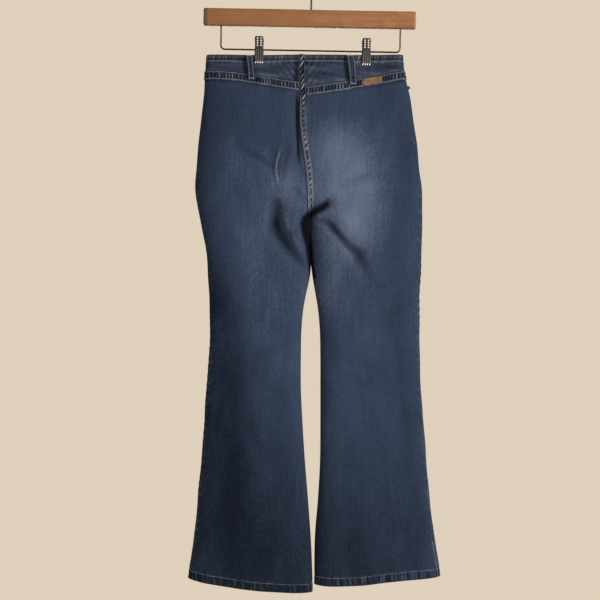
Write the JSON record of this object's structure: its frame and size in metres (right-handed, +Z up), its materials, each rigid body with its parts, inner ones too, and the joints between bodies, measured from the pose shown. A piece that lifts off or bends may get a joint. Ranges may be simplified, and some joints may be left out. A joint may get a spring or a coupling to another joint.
{
  "type": "flared jeans on clip hanger",
  "caption": "Flared denim jeans with a shaped waistband and belt loops, open at the waist and hems, gripped by the clips of a wooden trouser hanger that hangs from its hook",
  "frame": {"origin": "the top of the inside of the hanger's hook, where it rests on a rail or peg", "axes": "+Z is up; +Y is the wearer's back, the side that shows the yoke seam and the patch; +X is the wearer's left, along the hanger's bar"},
  "size_m": [0.4525, 0.0457, 1.1352],
  "materials": {
    "denim": "washed indigo twill",
    "denim_seam": "felled seam, puckered",
    "leather": "plain tan, bare",
    "wood": "satin varnish",
    "steel": "plated wire",
    "dark_steel": "dark plated pressed steel",
    "button_metal": "aged, plain"
  },
  "bodies": {
    "root": {"back_leg_left": "denim", "back_leg_right": "denim", "front_leg_left": "denim", "front_leg_right": "denim", "back_yoke_left": "denim", "back_yoke_right": "denim", "front_band_left": "denim", "front_band_right": "denim", "yoke_seam_left": "denim_seam", "yoke_seam_right": "denim_seam", "seat_seam": "denim_seam", "fly_lap": "denim_seam", "loop_back_left": "denim", "loop_back_right": "denim", "loop_front_left": "denim", "loop_front_right": "denim", "leather_patch": "leather", "button": "button_metal", "hanger_bar": "wood", "hanger_hook": "steel", "hanger_rail": "steel", "clip_left_back": "dark_steel", "clip_left_front": "dark_steel", "clip_left_spring": "dark_steel", "clip_right_back": "dark_steel", "clip_right_front": "dark_steel", "clip_right_spring": "dark_steel"}
  },
  "joints": []
}
